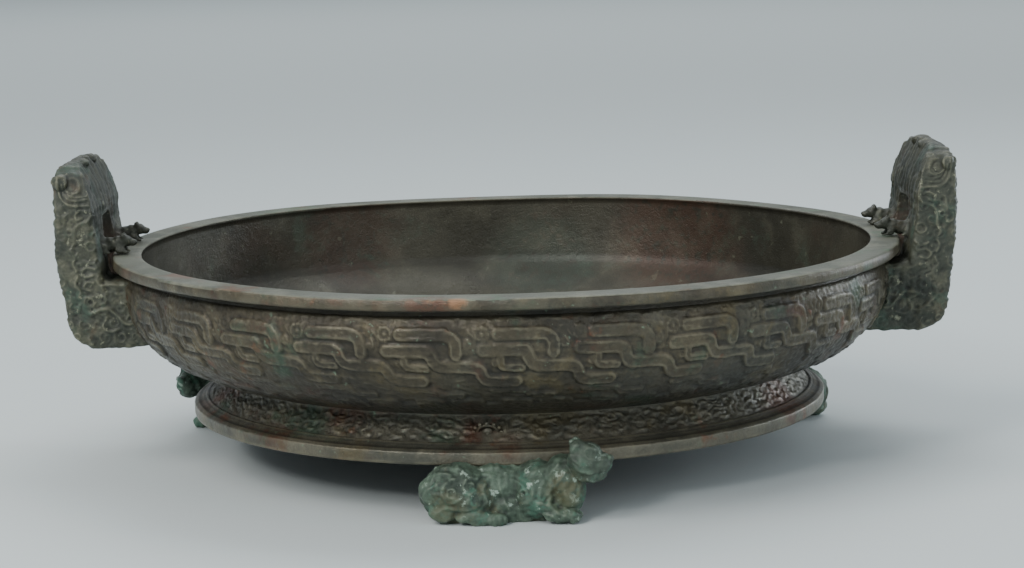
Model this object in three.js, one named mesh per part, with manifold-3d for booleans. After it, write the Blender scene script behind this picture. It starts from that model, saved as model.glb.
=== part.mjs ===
// Bronze ritual basin, in millimetres, +Z up.
// The origin is on the ground under the basin's axis. +X points to the right
// handle and -Y to the front foot.

import * as THREE from 'three';
import { mergeVertices } from 'three/addons/utils/BufferGeometryUtils.js';
import Module from 'manifold-3d';

const wasm = await Module();
wasm.setup();

// Clearance between pieces that touch, and the shortest edge kept where they are cut
const gap = 0.3;
const shortestEdge = 0.2;

// Bowl: depths are measured down from the top of the rim
const rimRadius = 200;
const rimWidth = 14.4;
const rimThickness = 5.6;
const rimEdge = 0.9;
const wall = 4.2;
const bellyInset = 6.5;
const neckInset = 3;
const neckDepth = 7.2;
const bellyDepth = 16;
const floorRadius = 106.5;
const bowlDepth = 66;
const bellyFullness = 2.3;
const roundSides = 56;
const bellySteps = 4;

// Ring foot below the bowl
const waistRadius = 145;
const ringHeight = 20.5;
const ringFlare = 9;
const lipOverhang = 7.5;
const lipHeight = 8.8;
const lipEdge = 6.2;
const ringWall = 4.2;

// Belly frieze: raised straps that step down to the right
const friezeUnits = 28;
const friezeTop = 17;
const friezePitch = 7.1;
const strapWidth = 5.6;
const strapRelief = 1.5;
const strapRoot = 1.2;
const friezeTurn = -3;

// Round bosses on the ring foot, one beside each foot
const bossRadius = 6.2;
const bossRelief = 1.6;
const bossTurn = -4;

// Ear handles
const earWidth = 87;
const earRise = 47;
const earThickness = 19.5;
const earLean = 4;
const earShoulder = 25;
const rimToEar = 0;
const legWidth = 27.5;
const openingRise = 18.5;
const openingRound = 9;
const armTop = 11;
const armHeight = 34;
const armRoot = 27;
const heelRound = 15;
const crownRound = 8;
const crownInset = 10;
const crownFall = 22;
const earEdge = 2.5;
const curlRadius = 4.2;
const curlRelief = 1.8;
const curlCount = 4;
const scrollWidth = 4.4;
const scrollRelief = 1.5;
const scrollRoot = 4;
const scrollRise = 22;

// Small beasts between the ears and the rim
const beastSpacing = 47;
const beastLength = 19;
const beastHeight = 9.5;
const beastWidth = 9;

// Animal feet
const footCount = 3;
const footHeight = 25;
const footLength = 84;
const footDepth = 25;
const headRise = 15;
const footOutset = 15.5;
const backFootSlip = 6;

// Radii and heights above the ground that follow from these
const bellyRadius = rimRadius - bellyInset;
const neckRadius = bellyRadius - neckInset;
const footCentre = waistRadius + footOutset;
const waistDepth = bodyDepth(waistRadius);
const rimTop = footHeight + ringHeight + waistDepth;
const ringTop = rimTop - waistDepth;

const bronze = new THREE.MeshStandardMaterial({ color: 0x4a4538, roughness: 0.5, metalness: 0.8 });
const handleBronze = new THREE.MeshStandardMaterial({ color: 0x4d5648, roughness: 0.65, metalness: 0.5 });
const footBronze = new THREE.MeshStandardMaterial({ color: 0x4f6a58, roughness: 0.75, metalness: 0.3 });

// Outer radius of the bowl at a depth below the neck
function bodyRadius(depth) {
  if (depth < bellyDepth) {
    const rise = (bellyDepth - depth) / (bellyDepth - neckDepth);
    return bellyRadius - (bellyRadius - neckRadius) * rise * rise;
  }
  const fall = Math.min((depth - bellyDepth) / (bowlDepth - bellyDepth), 1);
  const share = (1 - fall ** bellyFullness) ** (1 / bellyFullness);
  return floorRadius + (bellyRadius - floorRadius) * share;
}

// Depth at which the outside of the bowl has shrunk to a radius
function bodyDepth(radius) {
  if (radius <= floorRadius) return bowlDepth;
  const share = Math.min((radius - floorRadius) / (bellyRadius - floorRadius), 1);
  const fall = (1 - share ** bellyFullness) ** (1 / bellyFullness);
  return bellyDepth + (bowlDepth - bellyDepth) * fall;
}

// Outward slope of the bowl at a depth, as a unit normal [outwards, up]
function bodyNormal(depth) {
  const step = 0.05;
  const run = bodyRadius(depth + step) - bodyRadius(depth - step);
  const length = Math.hypot(run, 2 * step);
  return [(2 * step) / length, run / length];
}

// Point on the bowl's outside, raised by a height along the normal
function bodyPoint(angle, depth, height) {
  const [outwards, up] = bodyNormal(depth);
  const radius = bodyRadius(depth) + outwards * height;
  return [radius * Math.cos(angle), radius * Math.sin(angle), rimTop - depth + up * height];
}

// Outer radius of the ring foot at a height share from the waist down to the lip
function ringRadius(share) {
  return waistRadius + ringFlare * share ** 1.5;
}

function solid(geometry) {
  const bare = geometry.clone();
  bare.deleteAttribute('normal');
  bare.deleteAttribute('uv');
  const merged = mergeVertices(bare, 1e-4);
  const vertProperties = Float32Array.from(merged.attributes.position.array);
  const triVerts = Uint32Array.from(merged.index.array);
  return new wasm.Manifold(new wasm.Mesh({ numProp: 3, vertProperties, triVerts }));
}

function join(solids) {
  return solids.reduce((whole, next) => whole.add(next));
}

function piece(name, manifold, material) {
  const { vertProperties, triVerts } = manifold.simplify(shortestEdge).getMesh();
  const geometry = new THREE.BufferGeometry();
  geometry.setAttribute('position', new THREE.BufferAttribute(vertProperties, 3));
  geometry.setIndex(new THREE.BufferAttribute(triVerts, 1));
  geometry.computeVertexNormals();
  const mesh = new THREE.Mesh(geometry, material);
  mesh.name = name;
  return mesh;
}

// Solid of revolution about +Z from [radius, height] points
function turned(points) {
  const profile = points.map(([radius, height]) => new THREE.Vector2(radius, height));
  return solid(new THREE.LatheGeometry(profile, roundSides).rotateX(Math.PI / 2));
}

// Closed strip from rows of four corners, each row [left low, left high, right high, right low]
function strip(rows) {
  const positions = rows.flat(2);
  const index = [];
  const quad = (a, b, c, d) => index.push(a, b, c, a, c, d);
  for (let i = 0; i + 1 < rows.length; i += 1) {
    for (let side = 0; side < 4; side += 1) {
      const next = (side + 1) % 4;
      quad(4 * i + side, 4 * i + next, 4 * i + 4 + next, 4 * i + 4 + side);
    }
  }
  const last = 4 * (rows.length - 1);
  quad(3, 2, 1, 0);
  quad(last, last + 1, last + 2, last + 3);
  const geometry = new THREE.BufferGeometry();
  geometry.setAttribute('position', new THREE.Float32BufferAttribute(positions, 3));
  geometry.setIndex(index);
  return solid(geometry);
}

// Raised band of a given width along a flat path, laid on a surface by place(x, y, height)
function band(path, width, relief, root, place) {
  const bevel = 0.7;
  const rows = path.map(([x, y], i) => {
    const [x0, y0] = path[Math.max(i - 1, 0)];
    const [x1, y1] = path[Math.min(i + 1, path.length - 1)];
    const length = Math.hypot(x1 - x0, y1 - y0);
    const sideX = (-(y1 - y0) / length) * (width / 2);
    const sideY = ((x1 - x0) / length) * (width / 2);
    return [
      place(x + sideX, y + sideY, -root),
      place(x + sideX * bevel, y + sideY * bevel, relief),
      place(x - sideX * bevel, y - sideY * bevel, relief),
      place(x - sideX, y - sideY, -root),
    ];
  });
  return strip(rows);
}

function ellipsoid(centre, radii, tilt = 0, sides = 6, rings = 4) {
  const geometry = new THREE.SphereGeometry(1, sides, rings).rotateX(Math.PI / 2);
  geometry.scale(...radii).rotateY(tilt).translate(...centre);
  return solid(geometry);
}

// Profile of the bowl's outside from the neck down to the waist
function bellyProfile(steps) {
  const points = [];
  for (let i = 0; i <= steps; i += 1) {
    const angle = (i / steps) * (Math.PI / 2);
    const reach = (waistDepth - bellyDepth) * (1 - Math.cos(angle)) ** 0.5;
    const depth = bellyDepth + reach;
    points.push([bodyRadius(depth), rimTop - depth]);
  }
  return points;
}

// The bowl's outside moved along its normal, from the waist's side up to the neck
function innerProfile(steps, inset) {
  return bellyProfile(steps).reverse().map(([radius, height]) => {
    const [outwards, up] = bodyNormal(rimTop - height);
    return [radius - outwards * inset, height - up * inset];
  });
}

function ringProfile() {
  const flare = ringHeight - lipHeight;
  const points = [0.45, 1].map((share) => [ringRadius(share), ringTop - share * flare]);
  const lipRadius = waistRadius + ringFlare + lipOverhang;
  points.push([lipRadius, ringTop - ringHeight + lipEdge]);
  points.push([lipRadius, ringTop - ringHeight]);
  return points;
}

function basinOutside(grow) {
  const top = rimTop;
  const points = [
    [0, top + grow],
    [rimRadius - rimEdge + grow, top + grow],
    [rimRadius + grow, top - rimEdge + grow],
    [rimRadius + grow, top - rimThickness - grow],
    [neckRadius + grow, top - neckDepth - grow],
  ];
  bellyProfile(bellySteps).forEach(([radius, height]) => {
    const [outwards, up] = bodyNormal(rimTop - height);
    points.push([radius + outwards * grow, height + up * grow]);
  });
  ringProfile().forEach(([radius, height], i) => {
    points.push([radius + grow, i === 3 ? height - grow : height]);
  });
  return points;
}

function basinSolid() {
  const ringBottom = ringTop - ringHeight;
  const ringInside = waistRadius - ringWall;
  const points = [[0, rimTop - bowlDepth + wall], [floorRadius, rimTop - bowlDepth + wall]];
  innerProfile(bellySteps - 1, wall).forEach((point) => points.push(point));
  points.push([neckRadius - wall, rimTop - neckDepth]);
  points.push([rimRadius - rimWidth, rimTop]);
  basinOutside(0).slice(1).forEach((point) => points.push(point));
  points.push([ringRadius(1) - ringWall / 2, ringBottom]);
  points.push([ringRadius(1) - ringWall, ringBottom + lipHeight]);
  points.push([ringInside, rimTop - bodyDepth(ringInside)]);
  points.push([floorRadius, rimTop - bowlDepth], [0, rimTop - bowlDepth]);
  return turned(points.reverse());
}

// Strap paths within one unit: x in shares of the unit, y in rows of the frieze
const longStrap = [[0, 1], [0.36, 1], [0.5, 2], [0.85, 2], [1, 3], [1.3, 3]];
const hookStrap = [[0.13, 0], [0.55, 0], [0.7, 1.1]];

function frieze() {
  const unit = (2 * Math.PI) / friezeUnits;
  const straps = [];
  for (let i = 0; i < friezeUnits; i += 1) {
    const start = i * unit + THREE.MathUtils.degToRad(friezeTurn);
    for (const path of [longStrap, hookStrap]) {
      const flat = path.map(([x, y]) => [x * unit * bellyRadius, friezeTop + y * friezePitch]);
      const place = (x, y, height) => bodyPoint(start + x / bellyRadius, y, height);
      straps.push(band(flat, -strapWidth, strapRelief, strapRoot, place));
    }
  }
  return join(straps);
}

function basin() {
  let body = basinSolid();
  let straps = frieze();
  for (const side of [-1, 1]) {
    for (const leg of [-1, 1]) straps = straps.subtract(armBlock(side, leg, gap));
  }
  body = body.add(straps);
  for (let i = 0; i < footCount; i += 1) body = body.add(boss(footAngle(i)));
  return body;
}

// Angle of each animal foot about the axis: the first is at the front
function footAngle(i) {
  return -Math.PI / 2 + (i * 2 * Math.PI) / footCount;
}

function boss(angle) {
  const share = 0.45;
  const slope = Math.atan2(ringFlare, ringHeight - lipHeight);
  const geometry = new THREE.CylinderGeometry(bossRadius * 0.8, bossRadius, bossRelief * 2, 10);
  geometry.rotateZ(-Math.PI / 2).rotateY(-slope);
  geometry.translate(ringRadius(share), 0, ringTop - share * (ringHeight - lipHeight));
  return solid(geometry.rotateZ(angle + THREE.MathUtils.degToRad(bossTurn)));
}

const earInside = rimRadius + rimToEar;
const armBottomZ = rimTop - armTop - armHeight;
const armTopZ = rimTop - armTop;
const crownZ = rimTop + earRise;

// Block that one arm of a handle fills where it meets the bowl
function armBlock(side, leg, grow) {
  const width = legWidth + 2 * grow;
  const height = armHeight + 2 * grow;
  const reach = armRoot + earThickness;
  const geometry = new THREE.BoxGeometry(reach, width, height);
  geometry.translate(
    side * (earInside - armRoot + reach / 2),
    leg * (earWidth / 2 - legWidth / 2),
    (armTopZ + armBottomZ) / 2,
  );
  return solid(geometry);
}

// Side view of an ear: outwards in x, up in y, with its arm, heel and rounded crown
function earSide() {
  const outside = earInside + earThickness;
  const rise = crownZ - armTopZ;
  const shape = new THREE.Shape();
  shape.moveTo(earInside - armRoot, armBottomZ);
  shape.lineTo(outside - heelRound, armBottomZ);
  shape.quadraticCurveTo(outside - 1, armBottomZ + 2, outside, armBottomZ + heelRound);
  shape.lineTo(outside + earLean, rimTop);
  shape.lineTo(outside + earLean, crownZ - crownRound);
  shape.quadraticCurveTo(outside + earLean, crownZ, outside + earLean - crownRound, crownZ);
  shape.lineTo(earInside + earLean + crownInset, crownZ);
  shape.quadraticCurveTo(
    earInside + earLean + crownInset * 0.4,
    crownZ - crownInset * 0.4,
    earInside + earLean,
    crownZ - crownFall,
  );
  shape.lineTo(earInside + earLean, crownZ - rise * 0.55);
  shape.lineTo(earInside, armTopZ);
  shape.lineTo(earInside - armRoot, armTopZ);
  return shape;
}

// Front view of an ear: along the rim in x, up in y, an upside-down U
function earFront() {
  const half = earWidth / 2;
  const open = half - legWidth;
  const openTop = rimTop + openingRise;
  const foot = armBottomZ - 1;
  const shape = new THREE.Shape();
  shape.moveTo(-half, foot);
  shape.lineTo(-open, foot);
  shape.lineTo(-open, openTop - openingRound);
  shape.quadraticCurveTo(-open, openTop, -open + openingRound, openTop);
  shape.lineTo(open - openingRound, openTop);
  shape.quadraticCurveTo(open, openTop, open, openTop - openingRound);
  shape.lineTo(open, foot);
  shape.lineTo(half, foot);
  shape.lineTo(half, crownZ - earShoulder);
  shape.quadraticCurveTo(half, crownZ, half - earShoulder, crownZ);
  shape.lineTo(-half + earShoulder, crownZ);
  shape.quadraticCurveTo(-half, crownZ, -half, crownZ - earShoulder);
  return shape;
}

// Scroll and cross band in relief on the two broad faces of each leg
function legRelief() {
  const mid = earInside + earLean + earThickness / 2;
  const half = earWidth / 2;
  const curl = [[0, 17], [4, 14], [3, 8], [-5, 7], [-6, 20], [2, 24]];
  const tail = [[-5, 0], [3, -8], [4, -17], [-3, -26], [-3, -35], [3, -42]];
  const solids = [];
  for (const face of [-1, 1]) {
    const place = (x, y, height) => [mid + x * face, face * (half + height), rimTop + scrollRise + y];
    for (const path of [curl, tail]) {
      const flat = path.map(([x, y]) => [x * face, y]);
      solids.push(band(flat, -scrollWidth, scrollRelief, scrollRoot, place));
    }
  }
  return join(solids);
}

// Row of rounded curls down the outer edge of each leg
function edgeCurls() {
  const outside = earInside + earThickness + earLean;
  const solids = [];
  for (const leg of [-1, 1]) {
    for (let i = 0; i < curlCount; i += 1) {
      const height = crownZ - earShoulder * 0.35 - i * curlRadius * 2.4;
      const centre = [outside + curlRelief - curlRadius, leg * (earWidth / 2 - curlRadius * 1.5), height];
      solids.push(ellipsoid(centre, [curlRadius, curlRadius, curlRadius], 0, 6, 3));
    }
  }
  return join(solids);
}

// Beast with its tail in the ear and its head over the rim: half widths along its length
function beast(leg) {
  const outline = [[0, 0], [0.02, 0.3], [0.3, 0.5], [0.52, 0.42], [0.64, 0.3], [0.78, 0.46], [0.93, 0.36], [1, 0]];
  const profile = outline.map(([along, half]) => new THREE.Vector2(half * beastWidth, along * beastLength));
  const geometry = new THREE.LatheGeometry(profile, 7).rotateZ(Math.PI / 2);
  geometry.scale(1, 1, beastHeight / beastWidth);
  const seat = rimTop + gap + beastHeight * 0.52;
  geometry.translate(earInside + earLean + 0.8, leg * (beastSpacing / 2), seat);
  return solid(geometry);
}

function handle() {
  const half = earWidth / 2;
  const side = new THREE.ExtrudeGeometry(earSide(), {
    depth: earWidth - 2 * earEdge,
    bevelThickness: earEdge,
    bevelSize: earEdge,
    bevelOffset: -earEdge,
    bevelSegments: 1,
    curveSegments: 3,
  });
  side.rotateX(Math.PI / 2).translate(0, half - earEdge, 0);
  const front = new THREE.ExtrudeGeometry(earFront(), {
    depth: armRoot + earThickness + 2 * earLean,
    bevelEnabled: false,
    curveSegments: 4,
  });
  front.rotateX(Math.PI / 2).rotateZ(Math.PI / 2).translate(earInside - armRoot - earLean, 0, 0);
  let ear = solid(side).intersect(solid(front));
  ear = ear.add(legRelief()).add(edgeCurls()).add(beast(-1)).add(beast(1));
  return ear.subtract(turned(basinOutside(gap).concat([[0, ringTop - ringHeight]]).reverse()));
}

// One recumbent animal: x towards its head, y outwards from the basin, z up
function animal() {
  const l = footLength;
  const d = footDepth;
  const h = footHeight;
  const forms = [
    ellipsoid([-0.05 * l, -0.04 * d, 0.22 * h], [0.4 * l, 0.44 * d, 0.44 * h]),
    ellipsoid([-0.285 * l, 0.1 * d, 0.54 * h], [0.215 * l, 0.48 * d, 0.58 * h]),
    ellipsoid([-0.03 * l, -0.04 * d, 0.56 * h], [0.3 * l, 0.42 * d, 0.5 * h]),
    ellipsoid([0.16 * l, 0.04 * d, 0.58 * h], [0.16 * l, 0.48 * d, 0.54 * h]),
    ellipsoid([0.28 * l, 0.2 * d, 0.8 * h], [0.12 * l, 0.32 * d, 0.5 * h], 0.5),
    ellipsoid([0.4 * l, 0.42 * d, h + headRise * 0.3], [0.11 * l, 0.28 * d, headRise * 0.6]),
    ellipsoid([0.47 * l, 0.44 * d, h + headRise * 0.02], [0.07 * l, 0.2 * d, headRise * 0.36], 0, 6, 3),
    ellipsoid([0.34 * l, 0.42 * d, h + headRise * 0.75], [0.045 * l, 0.1 * d, headRise * 0.3], 0, 5, 3),
    ellipsoid([0.22 * l, 0.38 * d, 0.2 * h], [0.15 * l, 0.16 * d, 0.2 * h], 0.1, 6, 3),
    ellipsoid([-0.14 * l, 0.42 * d, 0.18 * h], [0.12 * l, 0.16 * d, 0.2 * h], 0, 6, 3),
  ];
  return join(forms);
}

// The two feet at the back sit a little further out than the one at the front
function foot(i) {
  const angle = footAngle(i);
  const reach = footCentre + (i > 0 ? backFootSlip : 0);
  const room = new THREE.BoxGeometry(footLength * 2, footDepth * 4, rimTop * 2);
  room.translate(0, 0, rimTop);
  const ring = turned(basinOutside(gap).concat([[0, ringTop - ringHeight - gap]]).reverse());
  return animal()
    .intersect(solid(room))
    .mirror([1, 0, 0])
    .rotate([0, 0, THREE.MathUtils.radToDeg(angle) - 90])
    .translate([reach * Math.cos(angle), reach * Math.sin(angle), 0])
    .subtract(ring);
}

const group = new THREE.Group();
group.add(piece('basin', basin(), bronze));

const handleSolid = handle();
const rightHandle = piece('handle_right', handleSolid, handleBronze);
const leftHandle = piece('handle_left', handleSolid, handleBronze.clone());
leftHandle.rotation.z = Math.PI;
group.add(rightHandle, leftHandle);

['foot_front', 'foot_right', 'foot_left'].forEach((name, i) => {
  group.add(piece(name, foot(i), footBronze.clone()));
});

export default group;
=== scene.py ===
import math
import bpy
import numpy as np
from mathutils import Matrix, Vector


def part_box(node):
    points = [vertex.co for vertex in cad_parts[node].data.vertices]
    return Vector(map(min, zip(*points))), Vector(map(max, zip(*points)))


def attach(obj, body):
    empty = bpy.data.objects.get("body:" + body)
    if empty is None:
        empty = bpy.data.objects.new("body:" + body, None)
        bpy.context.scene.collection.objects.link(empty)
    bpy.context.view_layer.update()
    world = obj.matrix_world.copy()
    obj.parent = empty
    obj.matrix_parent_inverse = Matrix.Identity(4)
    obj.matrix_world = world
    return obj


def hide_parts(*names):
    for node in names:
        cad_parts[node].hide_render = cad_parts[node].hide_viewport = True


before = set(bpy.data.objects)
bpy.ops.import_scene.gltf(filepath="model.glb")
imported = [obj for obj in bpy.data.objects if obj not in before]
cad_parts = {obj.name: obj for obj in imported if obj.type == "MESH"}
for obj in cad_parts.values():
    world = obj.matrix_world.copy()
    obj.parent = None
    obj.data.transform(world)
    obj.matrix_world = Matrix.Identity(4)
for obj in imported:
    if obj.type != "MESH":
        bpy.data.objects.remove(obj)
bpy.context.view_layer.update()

# Sizes are in millimetres here and become metres when a mesh is written.
mm = 0.001
basinLow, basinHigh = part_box("basin")
rimTop = basinHigh[2] / mm
rimRadius = basinHigh[1] / mm
ringBottom = basinLow[2] / mm


# Small helpers

def clearSelection():
    if bpy.context.object and bpy.context.object.mode != 'OBJECT':
        bpy.ops.object.mode_set(mode='OBJECT')
    bpy.ops.object.select_all(action='DESELECT')


def activate(piece):
    clearSelection()
    piece.select_set(True)
    bpy.context.view_layer.objects.active = piece


def readVectors(piece, field):
    flat = np.empty(len(piece.data.vertices) * 3)
    piece.data.vertices.foreach_get(field, flat)
    return flat.reshape(-1, 3)


def readPoints(piece):
    return readVectors(piece, "co") / mm


def readNormals(piece):
    return readVectors(piece, "normal")


def writePoints(piece, points):
    piece.data.vertices.foreach_set("co", (points * mm).ravel())
    piece.data.update()


def tidyMesh(piece, weld=0.01, closeEnds=False):
    activate(piece)
    bpy.ops.object.mode_set(mode='EDIT')
    bpy.ops.mesh.select_all(action='SELECT')
    bpy.ops.mesh.remove_doubles(threshold=weld * mm)
    if closeEnds:
        bpy.ops.mesh.select_all(action='DESELECT')
        bpy.ops.mesh.select_non_manifold()
        bpy.ops.mesh.fill_holes(sides=0)
        bpy.ops.mesh.select_all(action='SELECT')
    bpy.ops.mesh.dissolve_degenerate(threshold=weld * mm)
    bpy.ops.mesh.normals_make_consistent(inside=False)
    bpy.ops.object.mode_set(mode='OBJECT')
    bpy.ops.object.shade_smooth()


def nameActive(name):
    piece = bpy.context.object
    piece.name = name
    piece.data.name = name
    return piece


def joinPieces(name, pieces):
    clearSelection()
    for piece in pieces:
        piece.select_set(True)
    bpy.context.view_layer.objects.active = pieces[0]
    bpy.ops.object.join()
    return nameActive(name)


def applyPlace(piece):
    activate(piece)
    bpy.ops.object.transform_apply(location=True, rotation=True, scale=True)


def applyModifier(piece, kind, **values):
    activate(piece)
    bpy.ops.object.modifier_add(type=kind)
    modifier = piece.modifiers[-1]
    for name, value in values.items():
        setattr(modifier, name, value)
    bpy.ops.object.modifier_apply(modifier=modifier.name)


# A grid wrapped into a turned or modelled sheet: place(u, v) gives points for shares 0 to 1
def wrappedSheet(name, columns, rows, place):
    clearSelection()
    bpy.ops.mesh.primitive_grid_add(x_subdivisions=columns, y_subdivisions=rows, size=2)
    piece = nameActive(name)
    flat = readPoints(piece) * mm
    writePoints(piece, place((flat[:, 0] + 1) / 2, (flat[:, 1] + 1) / 2))
    return piece


def standAround(angle, radius, z):
    return np.stack([radius * np.cos(angle), radius * np.sin(angle), z], axis=1)


# A profile of (radius, height) points turned about the Z axis
def turnedSheet(name, columns, profile):
    rows = len(profile) - 1

    def place(u, v):
        row = np.rint(v * rows).astype(int)
        return standAround(u * 2 * math.pi, profile[row, 0], profile[row, 1])
    return wrappedSheet(name, columns, rows, place)


def ellipsoid(centre, radii, lift=0.0, segments=28, rings=18):
    clearSelection()
    bpy.ops.mesh.primitive_uv_sphere_add(segments=segments, ring_count=rings, radius=1)
    piece = bpy.context.object
    piece.scale = [radius * mm for radius in radii]
    piece.rotation_euler = (0, lift, 0)
    piece.location = [value * mm for value in centre]
    applyPlace(piece)
    return piece


# Prism from an outline of (first, second) points, standing in the XZ or the YZ plane
def prism(outline, start, end, plane):
    clearSelection()
    bpy.ops.mesh.primitive_circle_add(vertices=len(outline), radius=1, fill_type='NGON')
    piece = bpy.context.object
    flat = np.array(outline, dtype=float)
    points = np.zeros((len(outline), 3))
    points[:, 2] = flat[:, 1]
    along, across = (0, 1) if plane == "XZ" else (1, 0)
    points[:, along] = flat[:, 0]
    points[:, across] = start
    writePoints(piece, points)
    bpy.ops.object.mode_set(mode='EDIT')
    bpy.ops.mesh.select_all(action='SELECT')
    move = [0, 0, 0]
    move[across] = (end - start) * mm
    bpy.ops.mesh.extrude_region_move(TRANSFORM_OT_translate={"value": move})
    bpy.ops.mesh.select_all(action='SELECT')
    bpy.ops.mesh.normals_make_consistent(inside=False)
    bpy.ops.object.mode_set(mode='OBJECT')
    return piece


def voxelForm(piece, size):
    applyModifier(piece, 'REMESH', mode='VOXEL', voxel_size=size * mm, use_smooth_shade=True)
    applyModifier(piece, 'SMOOTH', factor=0.5, iterations=3)


# Curved path through a few points
def curved(points, steps=4):
    points = np.array(points, dtype=float)
    ends = np.vstack([2 * points[0] - points[1], points, 2 * points[-1] - points[-2]])
    path = []
    for i in range(len(points) - 1):
        a, b, c, d = ends[i:i + 4]
        for k in range(steps):
            t = k / steps
            path.append(0.5 * (2 * b + (c - a) * t + (2 * a - 5 * b + 4 * c - d) * t * t
                               + (3 * b - a - 3 * c + d) * t ** 3))
    path.append(points[-1])
    return np.array(path)


def spiral(centre, radius, start, turns, stepsPerTurn=14, inner=0.15):
    path = []
    count = int(abs(turns) * stepsPerTurn)
    for i in range(count + 1):
        share = i / count
        angle = start + turns * 2 * math.pi * share
        reach = radius * (1 - (1 - inner) * share)
        path.append((centre[0] + reach * math.cos(angle), centre[1] + reach * math.sin(angle)))
    return path


# Distance of each point to a path, both on a flat map
def pathDistance(xs, ys, path):
    best = np.full(xs.shape, 1e9)
    for (x0, y0), (x1, y1) in zip(path[:-1], path[1:]):
        dx, dy = x1 - x0, y1 - y0
        share = np.clip(((xs - x0) * dx + (ys - y0) * dy) / max(dx * dx + dy * dy, 1e-9), 0, 1)
        best = np.minimum(best, (xs - x0 - share * dx) ** 2 + (ys - y0 - share * dy) ** 2)
    return np.sqrt(best)


def step01(value):
    value = np.clip(value, 0, 1)
    return value * value * (3 - 2 * value)


def bell(distance, width):
    return np.exp(-(distance / width) ** 2)


# Raised band along a path, with a thin raised thread along both of its edges
def strapHeight(distance, width, height, thread, edge=0.9, threadWidth=0.55):
    top = step01((width / 2 - distance) / edge + 0.5)
    return height * top + thread * bell(distance - width / 2 + edge * 0.9, threadWidth)


def ridgeHeight(distance, width, height):
    return height * bell(distance, width * 0.5)


# The highest of several ridges, each a path with its width and height
def ridgesAlong(xs, ys, ridges, wider=1.0, higher=1.0):
    height = np.zeros(xs.shape)
    for path, width, rise in ridges:
        ridge = ridgeHeight(pathDistance(xs, ys, path), width * wider, rise * higher)
        height = np.maximum(height, ridge)
    return height


# The same ridges again in every unit that can reach into this one
def repeated(ridges, pitch):
    return [(np.array(path) + np.array([shift * pitch, 0]), width, rise)
            for shift in (-1, 0, 1, 2) for path, width, rise in ridges]


# Smooth seeded unevenness of about one unit, from waves in random directions
def unevenness(points, size, seed, waves=9):
    source = np.random.default_rng(seed)
    total = np.zeros(len(points))
    for i in range(waves):
        direction = source.normal(size=3)
        direction *= 2 * math.pi / (size * source.uniform(0.7, 1.5)) / np.linalg.norm(direction)
        total += np.sin(points @ direction + source.uniform(0, 6.28))
    return total / math.sqrt(waves)


# Several unevennesses together, as rows of amount, size, seed and waves
def roughness(points, layers):
    return sum(amount * unevenness(points, size, seed, waves) for amount, size, seed, waves in layers)


# How far each point stands proud of its surroundings, kept as a point attribute for the patina
def markProudness(piece, spread, depth):
    mesh = piece.data
    points = readPoints(piece)
    pairs = np.empty(len(mesh.edges) * 2, dtype=np.int64)
    mesh.edges.foreach_get("vertices", pairs)
    first, second = pairs[0::2], pairs[1::2]
    count = len(points)
    neighbours = np.maximum(np.bincount(pairs, minlength=count), 1)
    soft = points.copy()
    for i in range(spread):
        total = np.empty_like(soft)
        for axis in range(3):
            total[:, axis] = (np.bincount(first, soft[second, axis], count)
                              + np.bincount(second, soft[first, axis], count))
        soft = 0.5 * soft + 0.5 * total / neighbours[:, None]
    proud = ((points - soft) * readNormals(piece)).sum(axis=1)
    proudness = np.clip(0.5 + proud / depth, 0, 1)
    attribute = mesh.attributes.new("proudness", 'FLOAT', 'POINT')
    attribute.data.foreach_set("value", proudness)


def finishPiece(piece, nodes, materials):
    piece.data.materials.clear()
    for material in materials:
        piece.data.materials.append(material)
    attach(piece, "root")
    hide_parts(*nodes)


# Colours are given as seen on a screen and turned to the shader's linear values
def tone(red, green, blue):
    def linear(value):
        value /= 255
        return value / 12.92 if value <= 0.04045 else ((value + 0.055) / 1.055) ** 2.4
    return (linear(red), linear(green), linear(blue), 1)


# Heights of the two bands of painted shade on the body, under the belly and under the rim, in metres:
# where each starts and ends
bellyShadeBand = (0.074, 0.052)
neckShadeBand = (0.0955, 0.0995)
neckShadeBandEnd = (0.102, 0.1)
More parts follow.
